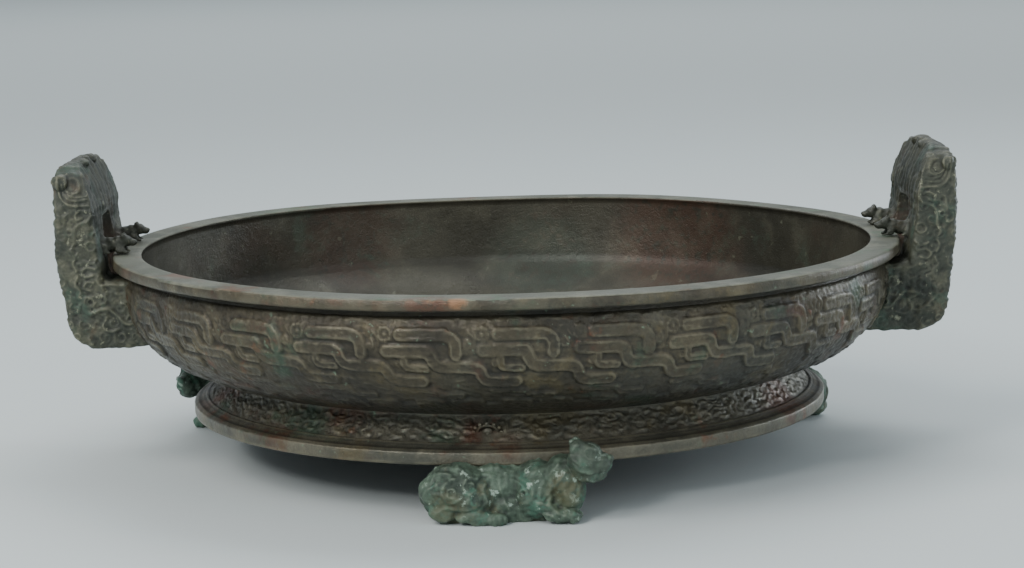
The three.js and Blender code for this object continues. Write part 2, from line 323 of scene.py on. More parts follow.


# Patina: dark and lighter bronze, red and green patches, pale flecks, ridges lighter (rubbed wear and
# painted highlight), hollows darker (dark patina and painted shade), painted shade under belly and
# rim.
# Each noise has a shift of its own so that the layers don't line up.
def patina(name, look):
    material = bpy.data.materials.new(name)
    material.use_nodes = True
    nodes = material.node_tree.nodes
    links = material.node_tree.links
    shader = nodes["Principled BSDF"]
    place = nodes.new("ShaderNodeTexCoord").outputs["Object"]

    def add(kind, sockets, **settings):
        node = nodes.new("ShaderNode" + kind)
        for name, value in settings.items():
            setattr(node, name, value)
        fill(node, sockets)
        return node.outputs

    def fill(node, sockets):
        for socket, value in sockets.items():
            if hasattr(value, "is_output"):
                links.new(value, node.inputs[socket])
            else:
                node.inputs[socket].default_value = value

    def noise(scale, detail=5.0, rough=0.6, shift=0.0):
        moved = add("Mapping", {"Vector": place, "Location": (shift, shift * 0.7, shift * 0.4)})[0]
        return add("TexNoise", {"Vector": moved, "Scale": scale, "Detail": detail,
                                "Roughness": rough})["Fac"]

    def span(source, low, high, to=1.0, start=0.0):
        return add("MapRange", {"Value": source, "From Min": low, "From Max": high, "To Min": start,
                                "To Max": to}, interpolation_type='SMOOTHSTEP')["Result"]

    def mix(share, first, second):
        return add("Mix", {0: share, 6: first, 7: second}, data_type='RGBA')[2]

    def combine(first, second, operation='MULTIPLY'):
        return add("Math", {0: first, 1: second}, operation=operation)[0]

    proudness = add("Attribute", {}, attribute_name="proudness")["Fac"]
    height = add("SeparateXYZ", {"Vector": place})["Z"]
    patchScale, grainScale = look["patchScale"], look["grainScale"]
    colour = mix(span(noise(patchScale), 0.38, 0.62), look["dark"], look["mid"])
    lighter = span(noise(patchScale * 3.1, shift=3.0), 0.45, 0.7, 0.75)
    colour = mix(lighter, colour, look["light"])
    for scale, shift, low, high, strength, patchColour in look["patches"]:
        cover = span(noise(scale, 6.0, 0.65, shift), low, high, strength)
        colour = mix(cover, colour, patchColour)
    grain = span(noise(grainScale, 4.0, 0.7, 7.0), 0.3, 0.7)
    colour = mix(combine(grain, look["grain"]), colour, look["grainColour"])
    # Proud ridges lighter: partly rubbed wear, partly a painted highlight
    broken = span(noise(75, shift=15.0), 0.36, 0.6)
    ridges = combine(broken, span(proudness, 0.55, 0.85, look["ridge"]))
    colour = mix(ridges, colour, look["ridgeColour"])
    # Hollows darker: partly dark patina, partly painted shade in the recesses
    colour = mix(span(proudness, 0.48, 0.15, look["hollow"]), colour, look["hollowColour"])
    for centre, reach, strength, spotColour in look["spots"]:
        gap = add("VectorMath", {0: place, 1: centre}, operation='DISTANCE')["Value"]
        cover = span(gap, reach, reach * 0.5, strength)
        speckled = combine(cover, span(noise(260, shift=9.0), 0.34, 0.52))
        colour = mix(speckled, colour, spotColour)
    # Painted shade: darker towards the bottom of the belly, and a dark band of painted shadow just
    # under the rim
    if look["paintedShade"]:
        colour = mix(span(height, *bellyShadeBand, look["paintedShade"]), colour, tone(30, 30, 28))
        neck = combine(span(height, *neckShadeBand, look["paintedShade"]), span(height, *neckShadeBandEnd))
        colour = mix(neck, colour, tone(34, 34, 31))

    gloss = span(noise(patchScale * 1.7, shift=5.0), 0.3, 0.7, look["roughHigh"], look["roughLow"])
    gloss = combine(gloss, span(proudness, 0.2, 0.8, look["ridgeRough"], 1.1))
    fine = combine(noise(grainScale * 1.3, 5.0, 0.65, 11.0), look["fineBump"])
    coarse = combine(noise(grainScale * 0.28, 4.0, 0.6, 13.0), look["coarseBump"])
    pits = span(noise(grainScale * 0.55, 2.0, 0.5, 17.0), 0.66, 0.74)
    pits = combine(pits, -look["pitBump"])
    relief = combine(combine(fine, coarse, 'ADD'), pits, 'ADD')
    bump = add("Bump", {"Strength": 1.0, "Distance": 0.001, "Height": relief})["Normal"]
    fill(shader, {"Base Color": colour, "Roughness": gloss, "Metallic": look["metal"],
                  "Specular IOR Level": look["shine"], "Normal": bump})
    return material


red = tone(96, 52, 34)
green = tone(58, 84, 66)
verdigris = tone(70, 112, 94)
copper = tone(160, 118, 84)
brass = tone(90, 86, 58)

# Spots are (centre, reach, strength, colour) in metres;
# patches are (noise scale, shift, from, to, strength, colour).
outsideLook = dict(
    dark=tone(52, 48, 39), mid=tone(78, 71, 55), light=tone(98, 90, 70), patchScale=22,
    grainScale=900, grain=0.35, grainColour=tone(44, 42, 36), ridge=0.3,
    ridgeColour=tone(138, 132, 110), hollow=0.55, hollowColour=tone(34, 34, 31), roughLow=0.34,
    roughHigh=0.52, ridgeRough=0.8, metal=0.35, shine=0.5, fineBump=0.22, coarseBump=0.45,
    # Last value below: strength of the painted shade under the belly and under the rim
    pitBump=0.12, paintedShade=0.6,
    spots=[
        ((-0.036, -0.2, 0.1045), 0.016, 0.55, tone(98, 66, 50)),
        ((-0.022, -0.2, 0.1075), 0.006, 0.6, copper),
        ((-0.034, -0.199, 0.1085), 0.004, 0.6, copper),
    ],
    patches=[
        (17, 1.0, 0.56, 0.68, 0.7, red),
        (60, 2.0, 0.6, 0.7, 0.6, tone(118, 66, 38)),
        (13, 8.0, 0.5, 0.62, 0.35, tone(76, 80, 72)),
        (33, 9.0, 0.54, 0.64, 0.45, tone(108, 96, 62)),
        (26, 4.0, 0.57, 0.68, 0.65, green),
        (210, 6.0, 0.64, 0.7, 0.8, tone(120, 140, 118)),
    ],
)
# Ring band: the body bronze made lighter, painted light on the band that the belly shades
ringPaintedLightLook = dict(
    outsideLook, paintedShade=0.0, dark=tone(80, 79, 69), mid=tone(103, 100, 86), light=tone(122, 117, 100),
)
insideLook = dict(
    outsideLook, paintedShade=0.0, dark=tone(56, 55, 46), mid=tone(78, 76, 64), light=tone(98, 96, 82),
    patchScale=12, ridge=0.2, hollow=0.3, roughLow=0.26, roughHigh=0.42, coarseBump=0.25,
    pitBump=0.08,
    spots=[
        ((0.1, 0.16, 0.085), 0.05, 0.35, tone(92, 60, 46)),
        ((0.02, 0.182, 0.07), 0.04, 0.35, tone(58, 72, 62)),
        ((-0.09, 0.165, 0.09), 0.04, 0.35, tone(80, 58, 46)),
    ],
    patches=[
        (9, 1.5, 0.55, 0.7, 0.45, tone(86, 68, 56)),
        (30, 2.5, 0.56, 0.68, 0.5, tone(78, 94, 80)),
        (120, 4.5, 0.64, 0.7, 0.6, tone(124, 128, 108)),
    ],
)
rimLook = dict(
    outsideLook, paintedShade=0.0, dark=tone(82, 86, 76), mid=tone(100, 103, 92), light=tone(118, 119, 106),
    patchScale=16, roughLow=0.5, roughHigh=0.7, metal=0.0, shine=0.25, grain=0.3, ridge=0.5,
    ridgeColour=tone(160, 156, 134), hollow=0.5, hollowColour=tone(60, 56, 46),
    patches=[
        (21, 1.2, 0.57, 0.66, 0.65, tone(104, 70, 50)),
        (34, 3.2, 0.56, 0.66, 0.7, tone(84, 104, 84)),
        (150, 5.2, 0.62, 0.7, 0.7, tone(64, 52, 40)),
    ],
)
handleLook = dict(
    outsideLook, paintedShade=0.0, dark=tone(46, 52, 44), mid=tone(70, 74, 62), light=tone(96, 96, 78),
    patchScale=34, ridgeColour=tone(146, 144, 120), ridge=0.3, hollowColour=tone(34, 36, 32),
    hollow=0.8, roughLow=0.46, roughHigh=0.66, metal=0.2,
    # First spot on each ear: painted shade, a darker patch on the inner face of the arch above the
    # opening
    spots=[((side * 0.2, 0, 0.138), 0.05, 0.6, tone(44, 47, 41)) for side in (-1, 1)]
    + [((side * 0.207, 0, 0.104), 0.028, 0.75, tone(74, 54, 42)) for side in (-1, 1)]
    + [((side * 0.188, leg * 0.0235, 0.114), 0.015, 0.65, tone(50, 52, 44))
       for side in (-1, 1) for leg in (-1, 1)],
    patches=[
        (30, 1.0, 0.58, 0.68, 0.5, tone(92, 72, 52)),
        (45, 4.0, 0.54, 0.66, 0.6, tone(62, 88, 74)),
        (260, 6.0, 0.6, 0.68, 0.8, tone(150, 152, 128)),
    ],
)
footLook = dict(
    outsideLook, paintedShade=0.0, dark=tone(54, 66, 56), mid=tone(80, 98, 83), light=tone(104, 124, 106),
    patchScale=60, ridgeColour=tone(150, 164, 142), ridge=0.28, hollowColour=tone(34, 44, 38),
    hollow=0.75, roughLow=0.5, roughHigh=0.75, metal=0.1, grain=0.3, grainColour=tone(40, 56, 46),
    spots=[
        ((0.036, -0.174, 0.031), 0.017, 0.6, tone(64, 72, 62)),
        ((0.024, -0.178, 0.016), 0.013, 0.6, brass),
        ((-0.03, -0.176, 0.008), 0.012, 0.45, brass),
    ],
    patches=[
        (55, 1.0, 0.56, 0.66, 0.6, tone(96, 92, 66)),
        (70, 3.0, 0.55, 0.63, 0.8, verdigris),
        (170, 5.0, 0.59, 0.66, 0.9, tone(170, 190, 174)),
        (95, 9.0, 0.6, 0.68, 0.8, tone(34, 46, 40)),
    ],
)
outsideBronze = patina("outsideBronze", outsideLook)
insideBronze = patina("insideBronze", insideLook)
rimBronze = patina("rimBronze", rimLook)
ringPaintedLightBronze = patina("ringPaintedLightBronze", ringPaintedLightLook)
handleBronze = patina("handleBronze", handleLook)
footBronze = patina("footBronze", footLook)
print("patinas made")


# Camera at the photograph's viewing angle
viewpoint = dict(distance=1.3, height=0.2783, pitch=0.148, roll=-0.0226, yaw=0.002, lens=89.9)


def placeCamera():
    camera = bpy.data.objects.new("viewCamera", bpy.data.cameras.new("viewCamera"))
    bpy.context.collection.objects.link(camera)
    pitch, yaw, roll = viewpoint["pitch"], viewpoint["yaw"], viewpoint["roll"]
    forward = Vector((math.sin(yaw) * math.cos(pitch), math.cos(yaw) * math.cos(pitch),
                      -math.sin(pitch)))
    right = Vector((math.cos(yaw), -math.sin(yaw), 0))
    up = right.cross(forward)
    right, up = (math.cos(roll) * right + math.sin(roll) * up,
                 -math.sin(roll) * right + math.cos(roll) * up)
    axes = Matrix((right, up, -forward)).transposed().to_4x4()
    stand = Matrix.Translation((0, -viewpoint["distance"], viewpoint["height"]))
    camera.matrix_world = stand @ axes
    camera.data.lens = viewpoint["lens"]
    camera.data.sensor_width = 36
    camera.data.sensor_fit = 'HORIZONTAL'
    camera.data.clip_start = 0.01
    bpy.context.scene.camera = camera


# Wide pale floor that fills the whole picture behind the basin
floorSize = 36


def makeFloor():
    clearSelection()
    bpy.ops.mesh.primitive_plane_add(size=floorSize)
    floor = nameActive("floor")
    material = bpy.data.materials.new("palePaper")
    material.use_nodes = True
    shader = material.node_tree.nodes["Principled BSDF"]
    shader.inputs["Base Color"].default_value = tone(204, 212, 212)
    shader.inputs["Roughness"].default_value = 0.85
    shader.inputs["Specular IOR Level"].default_value = 0.2
    floor.data.materials.append(material)


def softLight(name, place, target, size, power, colour):
    light = bpy.data.lights.new(name, 'AREA')
    light.shape = 'RECTANGLE'
    light.size, light.size_y = size
    light.energy = power
    light.color = colour
    lamp = bpy.data.objects.new(name, light)
    bpy.context.collection.objects.link(lamp)
    lamp.location = place
    lamp.rotation_euler = (Vector(target) - Vector(place)).to_track_quat('-Z', 'Y').to_euler()


# Name, place, target, size, power and colour
areaLights = [
    ("keyLight", (-1.0, -0.9, 1.45), (0, 0, 0.05), (1.1, 1.1), 20, (1, 0.98, 0.95)),
    ("topLight", (0.3, 0.6, 1.7), (0, 0.05, 0), (1.6, 0.9), 14, (0.95, 0.98, 1)),
    ("fillLight", (1.6, -1.2, 0.7), (0, 0, 0.05), (1.2, 0.9), 7, (0.93, 0.97, 1)),
    ("frontLight", (-0.3, -1.9, 0.95), (0, 0, 0.02), (1.8, 0.8), 3, (1, 0.99, 0.97)),
    ("farLight", (0, 4.4, 3.2), (0, 4.4, 0), (7, 4), 90, (0.97, 1, 1)),
    ("glintLight", (-0.85, -1.5, 0.95), (0, 0, 0.07), (0.3, 0.2), 9, (1, 0.99, 0.97)),
    ("rimLight", (1.7, 1.1, 0.4), (0.17, -0.1, 0.1), (0.5, 0.4), 9, (0.86, 0.94, 1)),
]


def makeLights():
    for row in areaLights:
        softLight(*row)
    world = bpy.data.worlds.new("studio")
    bpy.context.scene.world = world
    world.use_nodes = True
    background = world.node_tree.nodes["Background"]
    background.inputs["Color"].default_value = (0.75, 0.82, 0.88, 1)
    background.inputs["Strength"].default_value = 0.56


placeCamera()
makeFloor()
makeLights()
print("camera, floor and lights placed")


# Bowl: a turned wall with a flat rim. The outside is let in where the frieze lies on it.
bowl = dict(
    rimWidth=14.4, rimThickness=5.6, rimEdge=1.6, rimSlant=0.3, mouthEdge=1.1, wall=4.2,
    bellyInset=6.5, neckInset=3, neckDepth=7.2, bellyDepth=16, floorRadius=106.5, depth=66,
    fullness=2.3, columns=360, friezeStart=8.2, friezeEnd=60.6, letIn=1.3, unevenness=0.35,
    innerTurn=38, innerPower=2.2, floorRows=12, innerRows=24, mouthRows=13, outerRows=46, baseRows=10,
)
# Dent and chip on the front of the rim: place and reach along it and across it, drop and push
rimChip = dict(along=-8, alongReach=7, acrossReach=5, drop=0.9, push=0.5)
bellyRadius = rimRadius - bowl["bellyInset"]
neckRadius = bellyRadius - bowl["neckInset"]
bellyDepth = bowl["bellyDepth"]
bowlDepth = bowl["depth"]
floorRadius = bowl["floorRadius"]


def bodyRadius(depth):
    depth = np.asarray(depth, dtype=float)
    rise = np.clip((bellyDepth - depth) / (bellyDepth - bowl["neckDepth"]), 0, 1.3)
    upper = bellyRadius - (bellyRadius - neckRadius) * rise * rise
    fall = np.clip((depth - bellyDepth) / (bowlDepth - bellyDepth), 0, 1)
    lower = (1 - fall ** bowl["fullness"]) ** (1 / bowl["fullness"])
    return np.where(depth < bellyDepth, upper, floorRadius + (bellyRadius - floorRadius) * lower)


def bodyNormal(depth):
    gap = 0.05
    run = bodyRadius(depth + gap) - bodyRadius(np.asarray(depth) - gap)
    length = np.hypot(run, 2 * gap)
    return 2 * gap / length, run / length


def bodyPoint(depth, height):
    outwards, up = bodyNormal(depth)
    return bodyRadius(depth) + outwards * height, rimTop - depth + up * height


# Length along a line up to each of its points
def runAlong(xs, ys):
    return np.concatenate([[0], np.cumsum(np.hypot(np.diff(xs), np.diff(ys)))])


# Bowl depths spaced evenly along its curved side
depthTable = np.linspace(bowl["neckDepth"], bowlDepth - 0.02, 1200)
sideRun = runAlong(bodyRadius(depthTable), depthTable)


def depthsBetween(start, end, count):
    first, last = np.interp([start, end], depthTable, sideRun)
    return np.interp(np.linspace(first, last, count), sideRun, depthTable)


def rounded(centre, radius, start, end, count=4):
    angles = np.radians(np.linspace(start, end, count))
    return [(centre[0] + radius * math.cos(a), centre[1] + radius * math.sin(a)) for a in angles]


# From the middle of the floor up the inside, over the rim and down the outside to the middle again
def bowlProfile():
    wall, edge, mouthEdge, top = bowl["wall"], bowl["rimEdge"], bowl["mouthEdge"], rimTop
    floorTop = top - bowlDepth + wall
    points = [(radius, floorTop) for radius in np.linspace(0, floorRadius - 6, bowl["floorRows"])]
    for depth in depthsBetween(bowl["innerTurn"], bowlDepth - 0.05, bowl["innerRows"])[::-1]:
        radius, height = bodyPoint(depth, -wall)
        points.append((float(radius), max(float(height), floorTop)))
    mouth = rimRadius - bowl["rimWidth"]
    wallFoot, wallDepth = points[-1][0], top - points[-1][1]
    for share in np.linspace(0.08, 0.95, bowl["mouthRows"]):
        outwards = (mouth + 0.5 - wallFoot) * (1 - (1 - share) ** bowl["innerPower"])
        points.append((wallFoot + outwards, top - wallDepth * (1 - share)))
    points += rounded((mouth + 0.5, top - mouthEdge), mouthEdge, 180, 90)
    points += [(mouth + share * bowl["rimWidth"], top) for share in (0.2, 0.4, 0.6, 0.8)]
    points += rounded((rimRadius - bowl["rimSlant"] - edge, top - edge), edge, 90, 12)
    lower = top - bowl["rimThickness"]
    points += rounded((rimRadius - edge, lower + edge), edge, 0, -90)
    points += [(rimRadius - 4, lower), (neckRadius + 1.4, lower - 0.2),
               (neckRadius + 0.3, lower - 0.8)]
    points.append((float(bodyRadius(bowl["neckDepth"])), top - bowl["neckDepth"]))
    for depth in depthsBetween(bowl["neckDepth"] + 0.5, bowlDepth - 0.05, bowl["outerRows"]):
        into = step01((depth - bowl["friezeStart"]) / 1.2) * step01((bowl["friezeEnd"] - depth) / 0.8)
        radius, height = bodyPoint(depth, -float(bowl["letIn"] * into))
        points.append((float(radius), float(height)))
    base = top - bowlDepth
    points += [(radius, base) for radius in np.linspace(floorRadius - 2, 0, bowl["baseRows"])]
    return np.array(points)


# The real rim and wall are a little uneven from casting and use, the rim most
def hammered(points, seed=21):
    amount = bowl["unevenness"]
    radius = np.hypot(points[:, 0], points[:, 1])
    share = np.clip(radius / rimRadius, 0, 1) ** 2
    push = unevenness(points, 110, seed) * amount * share * 0.5
    lift = unevenness(points, 160, seed + 1) * amount * share
    out = points.copy()
    out[:, :2] += points[:, :2] / np.maximum(radius, 1e-6)[:, None] * push[:, None]
    out[:, 2] += lift * np.clip((points[:, 2] - ringBottom) / 40, 0, 1)
    return out


# The inside and the flat of the rim take finishes of their own
def splitFinishes(piece):
    mouth = rimRadius - bowl["rimWidth"]
    for face in piece.data.polygons:
        centre = face.center / mm
        radius = math.hypot(centre.x, centre.y)
        if centre.z > rimTop - 0.95 and radius > mouth - 0.3:
            face.material_index = 2
        elif centre.z > rimTop - bowlDepth + 1 and radius < mouth + 0.7:
            inwards = face.normal.x * centre.x + face.normal.y * centre.y < -0.01 * radius
            face.material_index = 1 if inwards or face.normal.z > 0.5 else 0


def makeBowl():
    piece = turnedSheet("basinBowl", bowl["columns"], bowlProfile())
    tidyMesh(piece)
    points = hammered(readPoints(piece))
    chip = bell(points[:, 0] - rimChip["along"], rimChip["alongReach"])
    chip = chip * bell(points[:, 1] + rimRadius, rimChip["acrossReach"])
    points[:, 2] -= rimChip["drop"] * chip * (points[:, 2] > rimTop - 3)
    points[:, 1] += rimChip["push"] * chip
    writePoints(piece, points)
    markProudness(piece, spread=4, depth=1.2)
    finishPiece(piece, ["basin"], [outsideBronze, insideBronze, rimBronze])
    splitFinishes(piece)


# Belly frieze: straps that step down to the right, with hooks, eyes and a finer lower register
frieze = dict(
    units=28, turn=-3, columnsPerUnit=60, rows=84, backRows=4, backDepth=3.0, sunk=0.7, relief=1.05,
    thread=0.55, strapWidth=5.9, hookWidth=4.0, lowWidth=3.2, grain=0.12, wander=0.35,
)
# Paths within one unit, x along the body and y the depth below the rim
longStrap = [(-1, 24.1), (14, 24.1), (18.3, 25.2), (19.8, 28.4), (23, 31.2), (36, 31.4),
             (40.6, 32.6), (42.2, 35.8), (45.5, 38.3), (57, 38.5)]
upperStrap = [(5.5, 17), (22, 17), (27.5, 18), (29.8, 21), (30.2, 25.5)]
hookStrap = [(7, 28), (8, 31.6), (16, 32)]
lowStraps = [
    [(3, 43.8), (17, 43.8), (21, 46.6), (31, 46.6)],
    [(26, 50.5), (39, 50.5), (42, 53), (50, 53)],
    [(8, 50.2), (18, 50.4), (21, 53.4)],
]
tailRidge = [(36, 15.5), (38.6, 19.5), (37, 25)]
eye = dict(x=-1.6, y=16.8, ring=2.9, ringWidth=0.75, ringRise=1.1, beads=9, pupil=0.95, pupilRise=1.2)


def friezeHeight(xs, depth):
    pitch = 2 * math.pi * bellyRadius / frieze["units"]
    height = np.zeros(xs.shape)
    wide = frieze["strapWidth"]
    straps = [(longStrap, wide, 1.0), (upperStrap, wide, 1.0), (hookStrap, frieze["hookWidth"], 0.85)]
    straps += [(path, frieze["lowWidth"], 0.55) for path in lowStraps]
    straps = [(curved(path, 3), width, share) for path, width, share in straps]
    for path, width, share in repeated(straps, pitch):
        distance = pathDistance(xs, depth, path)
        strap = strapHeight(distance, width, frieze["relief"] * share, frieze["thread"] * share)
        height = np.maximum(height, strap)
    for shift in (-1, 0, 1, 2):
        across, down = xs - eye["x"] - shift * pitch, depth - eye["y"]
        distance = np.hypot(across, down)
        beads = 0.75 + 0.25 * np.cos(np.arctan2(down, across) * eye["beads"])
        ring = eye["ringRise"] * bell(distance - eye["ring"], eye["ringWidth"]) * beads
        pupil = eye["pupilRise"] * bell(distance, eye["pupil"])
        height = np.maximum(height, np.maximum(ring, pupil))
    ridges = [(spiral((34.6, 21.6), 2.3, -1.2, 1.1), 1.7, 0.95),
              (spiral((4.5, 30.2), 2.2, 0.5, -1.2), 1.3, 0.7), (curved(tailRidge), 1.3, 0.6)]
    return np.maximum(height, ridgesAlong(xs, depth, repeated(ridges, pitch)))


def friezeSheet(name, startUnit, unitCount, seed):
    unit = 2 * math.pi / frieze["units"]
    front, back = frieze["rows"], frieze["backRows"]
    rows = front + back
    frontDepths = depthsBetween(bowl["friezeStart"] - 0.4, bowl["friezeEnd"] + 0.4, front + 1)
    backDepths = np.interp(np.arange(back + 1), [0, back], [frontDepths[-1], frontDepths[0]])

    def place(u, v):
        row = np.rint(v * rows).astype(int)
        angle = (startUnit + u * unitCount) * unit
        onFront = row <= front
        depth = np.where(onFront, frontDepths[np.minimum(row, front)],
                         backDepths[np.clip(row - front, 0, back)])
        xs = ((angle - math.radians(frieze["turn"])) % unit) * bellyRadius
        flat = standAround(angle, bellyRadius, depth * 3)
        wanderX = unevenness(flat, 46, 5) * frieze["wander"]
        wanderY = unevenness(flat, 61, 6) * frieze["wander"]
        height = friezeHeight(xs + wanderX, depth + wanderY)
        grain = unevenness(flat * np.array([1, 1, 0.5]), 3.1, seed, 14) + unevenness(flat, 7.5, 8, 12)
        worn = 0.86 + 0.14 * unevenness(flat, 75, 9)
        height = height * np.clip(worn, 0.55, 1.1) + grain * frieze["grain"]
        edge = np.minimum(step01(row / 3), step01((front - row) / 3))
        height = np.where(onFront, height * edge - frieze["sunk"] * (1 - edge), -frieze["backDepth"])
        height = np.where((row == 0) | (row == rows) | (row == front), -0.8, height)
        radius, z = bodyPoint(depth, height)
        return standAround(angle, radius, z)
    piece = wrappedSheet(name, frieze["columnsPerUnit"] * unitCount, rows, place)
    tidyMesh(piece, closeEnds=True)
    writePoints(piece, hammered(readPoints(piece)))
    markProudness(piece, spread=12, depth=1.1)
    finishPiece(piece, ["basin"], [outsideBronze])


makeBowl()
print("bowl turned")
halfUnits = frieze["units"] // 2
friezeSheet("friezeBack", 0, halfUnits, 31)
friezeSheet("friezeFront", halfUnits, halfUnits, 32)
print("belly frieze laid on")


# Ring foot: a flared wall with a scrolled band, a thread and a heavy lip
ringFoot = dict(
    waistRadius=145, meanRadius=150, flare=9, flarePower=1.5, lipOverhang=7.5, lipHeight=8.8,
    lipFace=6.2, wall=4.2, columns=1060, bandRows=30, bandStart=3.2, carvedRows=41,
    scrollPitches=58, relief=0.42, crawl=0.24, rosetteTurn=-4, rosetteField=6.6, footCount=3,
)
# Rosette beside each foot
rosette = dict(
    down=7.5, boss=2.5, bossHeight=1.9, ring=4.6, tube=0.75, beads=12, beadRing=6.3, bead=0.95,
)
waistRadius = ringFoot["waistRadius"]


def bodyDepthAt(radius):
    share = (radius - floorRadius) / (bellyRadius - floorRadius)
    fall = (1 - share ** bowl["fullness"]) ** (1 / bowl["fullness"])
    return bellyDepth + (bowlDepth - bellyDepth) * fall


ringTop = rimTop - bodyDepthAt(waistRadius)
flareHeight = ringTop - ringBottom - ringFoot["lipHeight"]


def footAngle(i):
    return -math.pi / 2 + i * 2 * math.pi / ringFoot["footCount"]


def rosetteAngle(i):
    return footAngle(i) + math.radians(ringFoot["rosetteTurn"])


# Point of the flared wall, from share 0 at the waist to 1 at the lip. Below 0 it is in the bowl.
def flarePoint(share, inwards=0):
    radius = waistRadius + ringFoot["flare"] * max(share, 0) ** ringFoot["flarePower"]
    return radius - inwards, ringTop - share * flareHeight


def ringProfile():
    corner = waistRadius + ringFoot["flare"]
    lip = corner + ringFoot["lipOverhang"]
    shoulder = ringBottom + ringFoot["lipHeight"]
    edgeTop = ringBottom + ringFoot["lipFace"]
    points = [flarePoint(share) for share in np.linspace(-0.12, 1, ringFoot["bandRows"])]
    # thread above the lip, the lip's rounded edge and its underside
    points += [(corner + 0.6, shoulder + 0.6), (corner + 1.4, shoulder + 0.5),
               (corner + 2.0, shoulder - 0.5), (corner + 3.2, shoulder - 0.8),
               (lip - 2.6, edgeTop + 0.7), (lip - 1.7, edgeTop + 0.9)]
    points += rounded((lip - 0.9, edgeTop - 0.9), 0.9, 75, 0) + [(lip, edgeTop - 3)]
    points += [(lip, ringBottom + 1.8)] + rounded((lip - 0.8, ringBottom + 0.8), 0.8, 0, -90, 3)
    inner = corner - ringFoot["wall"]
    points += [(corner + 1, ringBottom), (inner + 1.8, ringBottom), (inner, ringBottom + 1.4)]
    points += [flarePoint(share, ringFoot["wall"]) for share in (0.6, 0.3, 0.0, -0.12)]
    points.append(points[0])
    return np.array(points)


# Scrolls of the band as S shapes of two small spirals, x along the ring and y down from the waist
def scrollHeight(xs, ys, pitch):
    first = spiral((4.0, 5.2), 2.7, 2.6, -1.25)
    second = spiral((11.8, 9.4), 2.7, 2.6 + math.pi, -1.25)
    link = curved([first[0], (5.6, 7.8), (8.0, 7.4), (10.2, 6.8), second[0]], 3)
    comma = curved([(9.5, 3.0), (12.0, 2.6), (14.4, 4.4), (13.6, 6.0)], 3)
    commaLow = curved([(6.4, 11.6), (3.8, 12.0), (1.4, 10.2), (2.4, 8.9)], 3)
    ridges = [(path, 1.5, 1.0) for path in (first, second, link, comma, commaLow)]
    return ridgesAlong(xs, ys, repeated(ridges, pitch))


def makeRingFoot():
    profile = ringProfile()
    rows = len(profile) - 1
    run = runAlong(*profile.T)
    normal = np.gradient(profile, axis=0)
    normal = np.stack([-normal[:, 1], normal[:, 0]], axis=1)
    normal /= np.maximum(np.hypot(normal[:, 0], normal[:, 1]), 1e-6)[:, None]
    waistRun = np.interp(ringFoot["bandStart"], np.arange(rows + 1), run)
    bandEnd = run[ringFoot["bandRows"] - 1] - waistRun
    unit = 2 * math.pi / ringFoot["scrollPitches"]

    def place(u, v):
        row = np.rint(v * rows).astype(int)
        angle = u * 2 * math.pi
        down = run[row] - waistRun
        flat = standAround(angle, ringFoot["meanRadius"], down)
        wander = unevenness(flat, 30, 12) * 0.3
        xs = (angle % unit) * waistRadius + wander
        scrolls = scrollHeight(xs, down + wander * 0.6, unit * waistRadius)
        band = step01(down - 0.5) * step01(bandEnd - 0.8 - down)
        for i in range(ringFoot["footCount"]):
            turn = (angle - rosetteAngle(i) + math.pi) % (2 * math.pi) - math.pi
            away = np.hypot(turn * ringFoot["meanRadius"], down - rosette["down"])
            band = band * step01((away - ringFoot["rosetteField"]) / 1.2)
        crawl = np.cos(4.5 * unevenness(flat, 7, 16, 10)) * ringFoot["crawl"] * band
        height = scrolls * band * ringFoot["relief"] + crawl
        height += roughness(flat, ((0.1, 3.4, 14, 12), (0.12, 9, 15, 9)))
        # the thread and the lip are half as rough as the band, the underside and inside are plain
        plain = np.where(row < ringFoot["carvedRows"], 0.5, 0)
        height *= np.where(row < ringFoot["bandRows"], 1, plain)
        radius = profile[row, 0] + normal[row, 0] * height
        return standAround(angle, radius, profile[row, 1] + normal[row, 1] * height)
    piece = wrappedSheet("ringFoot", ringFoot["columns"], rows, place)
    tidyMesh(piece)
    return piece


# A boss, a ring and a wreath of beads
def makeRosettes():
    made = []
    share = (rosette["down"] - 0.6) / flareHeight
    slope = math.atan2(ringFoot["flarePower"] * ringFoot["flare"] * share ** 0.5, flareHeight)
    radius, height = flarePoint(share)
    for i in range(ringFoot["footCount"]):
        clearSelection()
        bpy.ops.mesh.primitive_torus_add(
            major_radius=rosette["ring"] * mm, minor_radius=rosette["tube"] * mm,
            major_segments=32, minor_segments=8)
        parts = [bpy.context.object]
        for k in range(rosette["beads"]):
            turn = k * 2 * math.pi / rosette["beads"]
            place = (rosette["beadRing"] * math.cos(turn), rosette["beadRing"] * math.sin(turn), 0.2)
            parts.append(ellipsoid(place, (rosette["bead"],) * 3, segments=10, rings=6))
        boss = (rosette["boss"], rosette["boss"], rosette["bossHeight"])
        parts.append(ellipsoid((0, 0, 0), boss, segments=20, rings=12))
        parts.append(ellipsoid((0, 0, 1.5), (0.9, 0.9, 0.8), segments=12, rings=8))
        flower = joinPieces("rosette", parts)
        upward = Matrix.Rotation(math.pi / 2 + slope, 4, 'Y')
        place = Matrix.Translation((radius * mm, 0, height * mm))
        flower.matrix_world = Matrix.Rotation(rosetteAngle(i), 4, 'Z') @ place @ upward
        applyPlace(flower)
        made.append(flower)
    return made


ringPiece = joinPieces("ringFoot", [makeRingFoot()] + makeRosettes())
activate(ringPiece)
bpy.ops.object.shade_smooth()
markProudness(ringPiece, spread=8, depth=0.8)
finishPiece(ringPiece, ["basin"], [ringPaintedLightBronze])
print("ring foot turned")


